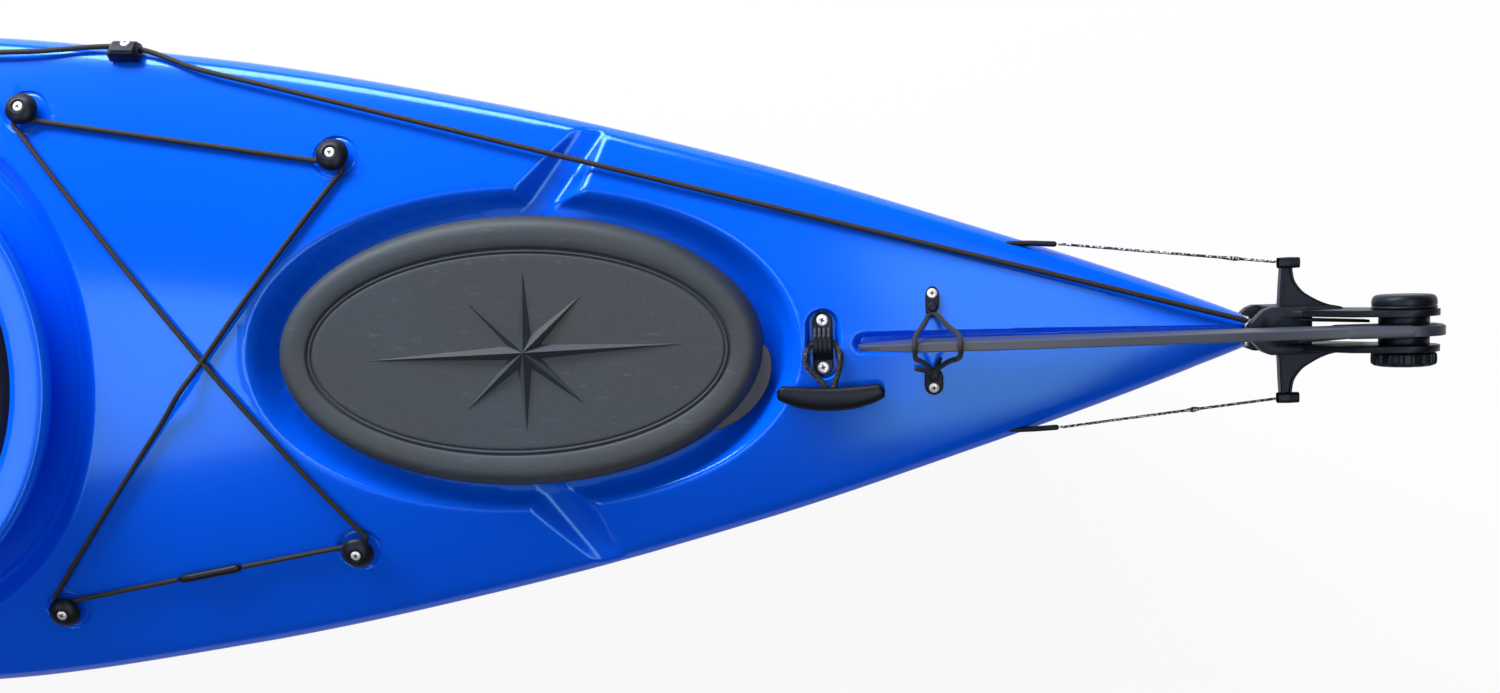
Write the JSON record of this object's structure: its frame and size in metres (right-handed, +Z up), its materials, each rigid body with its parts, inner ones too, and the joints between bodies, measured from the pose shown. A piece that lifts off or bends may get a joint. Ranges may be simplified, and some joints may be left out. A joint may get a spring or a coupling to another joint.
{
  "type": "touring kayak",
  "caption": "Glossy closed-deck touring kayak with an oval cockpit, oval rubber hatches, crossed deck bungees, carry toggles and a lift-up stern rudder steered by foot pedals.",
  "frame": {"origin": "on the floor under the flat keel panel, halfway along the hull", "axes": "+X towards the stern, +Y to starboard, +Z up"},
  "size_m": [4.0508, 0.6754, 0.4041],
  "materials": {
    "hull_blue": "deep saturated blue, very glossy thermoformed plastic",
    "hatch_rubber": "grey, soft satin rubber",
    "black_nylon": "black moulded nylon with a slight sheen",
    "bungee_black": "black braided elastic cord",
    "line_black": "black braided line",
    "stainless": "plain stainless steel",
    "blade_grey": "dark grey coated aluminium plate",
    "grey_foam": "closed-cell foam",
    "backrest_cloth": "black woven cloth over padding",
    "seat_plastic": "black moulded plastic"
  },
  "bodies": {
    "hull": {"hull_shell": "hull_blue", "deck_shell": "hull_blue", "stern_bulkhead": "grey_foam", "bow_bulkhead": "grey_foam", "seat": "seat_plastic", "seat_block": "grey_foam", "stern_bracket": "stainless", "rudder_pin": "stainless", "blade_loop": "bungee_black", "lift_line": "line_black", "lift_line_tail": "line_black", "lift_line_cleat": "black_nylon", "lift_line_fairlead": "black_nylon", "stern_hatch_rim": "black_nylon", "stern_bungee": "bungee_black", "stern_bungee_sleeve": "line_black", "stern_padeye": "black_nylon", "stern_dome_fore_starboard": "black_nylon", "stern_dome_fore_port": "black_nylon", "stern_dome_aft_starboard": "black_nylon", "stern_dome_aft_port": "black_nylon", "bow_hatch_rim": "black_nylon", "bow_bungee": "bungee_black", "bow_bungee_sleeve": "line_black", "bow_padeye": "black_nylon", "bow_dome_fore_starboard": "black_nylon", "bow_dome_fore_port": "black_nylon", "bow_dome_aft_starboard": "black_nylon", "bow_dome_aft_port": "black_nylon", "thigh_brace_starboard": "seat_plastic", "foot_rail_starboard": "black_nylon", "steering_tube_starboard": "line_black", "stern_line_starboard": "line_black", "pedal_line_starboard": "line_black", "loop_fitting_starboard": "black_nylon", "thigh_brace_port": "seat_plastic", "foot_rail_port": "black_nylon", "steering_tube_port": "line_black", "stern_line_port": "line_black", "pedal_line_port": "line_black", "loop_fitting_port": "black_nylon"},
    "rudder_head": {"rudder_housing_starboard": "black_nylon", "rudder_housing_port": "black_nylon", "hub_washer_starboard": "black_nylon", "hub_washer_port": "black_nylon", "pivot_bolt": "stainless", "pivot_knob": "black_nylon"},
    "blade": {"rudder_blade": "blade_grey"},
    "hand_nut": {"pivot_nut": "black_nylon"},
    "stern_cover": {"stern_hatch_cover": "hatch_rubber"},
    "bow_cover": {"bow_hatch_cover": "hatch_rubber"},
    "back_support": {"backrest": "backrest_cloth"},
    "pedal_carriage_starboard": {"pedal_starboard": "black_nylon"},
    "pedal_carriage_port": {"pedal_port": "black_nylon"},
    "stern_toggle": {"stern_toggle_cord": "line_black", "stern_toggle_grip": "black_nylon"},
    "bow_toggle": {"bow_toggle_cord": "line_black", "bow_toggle_grip": "black_nylon"},
    "lift_handle": {"lift_pull": "black_nylon"}
  },
  "joints": [
    {"name": "rudder_yaw", "type": "hinge", "parent": "hull", "child": "rudder_head", "pos_m": [1.964, 0, 0.2769], "axis": [0, 0, 1], "range_deg": [-35, 35], "deforming": ["stern_line_starboard", "stern_line_port", "pedal_line_starboard", "pedal_line_port"]},
    {"name": "blade_lift", "type": "hinge", "parent": "rudder_head", "child": "blade", "pos_m": [2.069, 0, 0.348], "axis": [0, 1, 0], "range_deg": [0, 235], "deforming": ["blade_loop"]},
    {"name": "hand_nut_turn", "type": "hinge", "parent": "rudder_head", "child": "hand_nut", "pos_m": [2.069, 0, 0.348], "axis": [0, 1, 0], "range_deg": [-180, 180]},
    {"name": "stern_cover_lift", "type": "slide", "parent": "hull", "child": "stern_cover", "axis": [0, 0, 1], "range_m": [0, 0.15]},
    {"name": "bow_cover_lift", "type": "slide", "parent": "hull", "child": "bow_cover", "axis": [0, 0, 1], "range_m": [0, 0.15]},
    {"name": "backrest_fold", "type": "hinge", "parent": "hull", "child": "back_support", "pos_m": [0.742, 0, 0.0748], "axis": [0, -1, 0], "range_deg": [0, 55]},
    {"name": "pedal_starboard_slide", "type": "slide", "parent": "hull", "child": "pedal_carriage_starboard", "axis": [0.9992, 0.0398, 0], "range_m": [-0.036, 0.036], "deforming": ["pedal_line_starboard"]},
    {"name": "pedal_port_slide", "type": "slide", "parent": "hull", "child": "pedal_carriage_port", "axis": [0.9992, -0.0398, 0], "range_m": [-0.036, 0.036], "deforming": ["pedal_line_port"]},
    {"name": "stern_toggle_swing", "type": "hinge", "parent": "hull", "child": "stern_toggle", "pos_m": [1.58192, 0, 0.29788], "axis": [-1, 0, 0], "range_deg": [0, 60]},
    {"name": "bow_toggle_swing", "type": "hinge", "parent": "hull", "child": "bow_toggle", "pos_m": [-1.6499, 0, 0.33581], "axis": [-1, 0, 0], "range_deg": [0, 60]},
    {"name": "lift_pull_slide", "type": "slide", "parent": "hull", "child": "lift_handle", "axis": [0.9996, -0.0293, 0], "range_m": [0, 0.12], "deforming": ["lift_line_tail"]}
  ],
  "couplings": [
    {"joint": "pedal_starboard_slide", "follows": "rudder_yaw", "m_per_rad": -0.0585},
    {"joint": "pedal_port_slide", "follows": "rudder_yaw", "m_per_rad": 0.0585},
    {"joint": "lift_pull_slide", "follows": "blade_lift", "m_per_rad": 0.0292}
  ]
}
